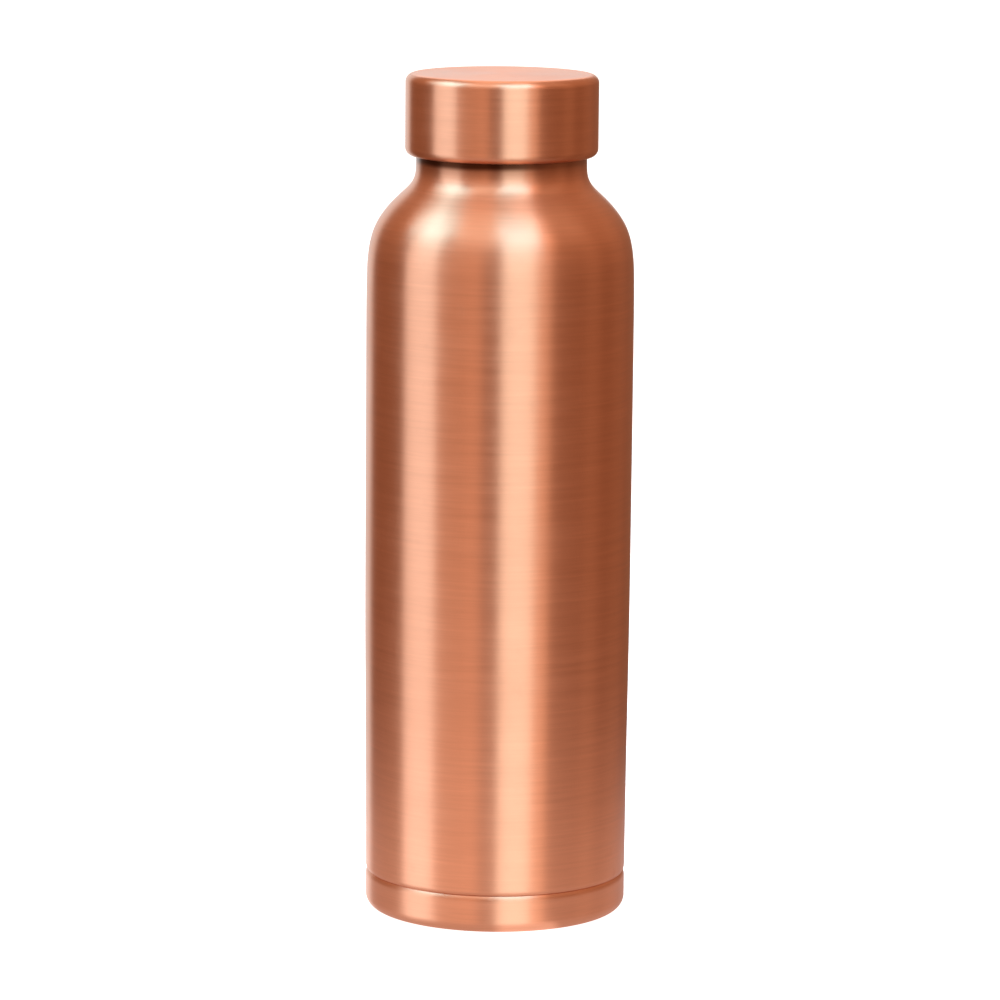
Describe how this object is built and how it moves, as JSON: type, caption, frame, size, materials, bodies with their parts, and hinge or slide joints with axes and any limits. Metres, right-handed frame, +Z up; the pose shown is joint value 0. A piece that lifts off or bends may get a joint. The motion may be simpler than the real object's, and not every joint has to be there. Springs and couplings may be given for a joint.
{
  "type": "copper water bottle",
  "caption": "Straight-sided brushed copper water bottle with a rounded shoulder, a short neck, a joined base cup and an unscrewing cap with a sealing gasket.",
  "frame": {"origin": "centre of the standing ring, on the surface that the bottle stands on", "axes": "+Z up along the bottle's axis, towards the cap; -Y towards the viewer; +X to the viewer's right"},
  "size_m": [0.073, 0.073, 0.2305],
  "materials": {
    "copper_brushed": "copper, brushed round the axis, satin with a soft sheen",
    "copper_inner": "copper, plain turned or formed surface, satin",
    "braze_alloy": "silver braze, slightly dull",
    "silicone": "translucent-white silicone, matte"
  },
  "bodies": {
    "bottle": {"body_shell": "copper_brushed", "base_cup": "copper_brushed", "base_braze_ring": "braze_alloy", "neck_thread_ring": "copper_inner", "neck_braze_ring": "braze_alloy"},
    "gasket": {"cap_gasket": "silicone"},
    "cap": {"cap_shell": "copper_brushed", "cap_thread_sleeve": "copper_inner", "cap_braze_ring": "braze_alloy", "cap_seal_plate": "copper_inner"}
  },
  "joints": [
    {"name": "cap_rise", "type": "slide", "parent": "bottle", "child": "gasket", "axis": [0, 0, 1], "range_m": [0, 0.0241]},
    {"name": "cap_turn", "type": "hinge", "parent": "gasket", "child": "cap", "pos_m": [0, 0, 0.2195], "axis": [0, 0, 1], "range_deg": [0, 2160]}
  ],
  "couplings": [
    {"joint": "cap_rise", "follows": "cap_turn", "m_per_rad": 0.00063662}
  ]
}
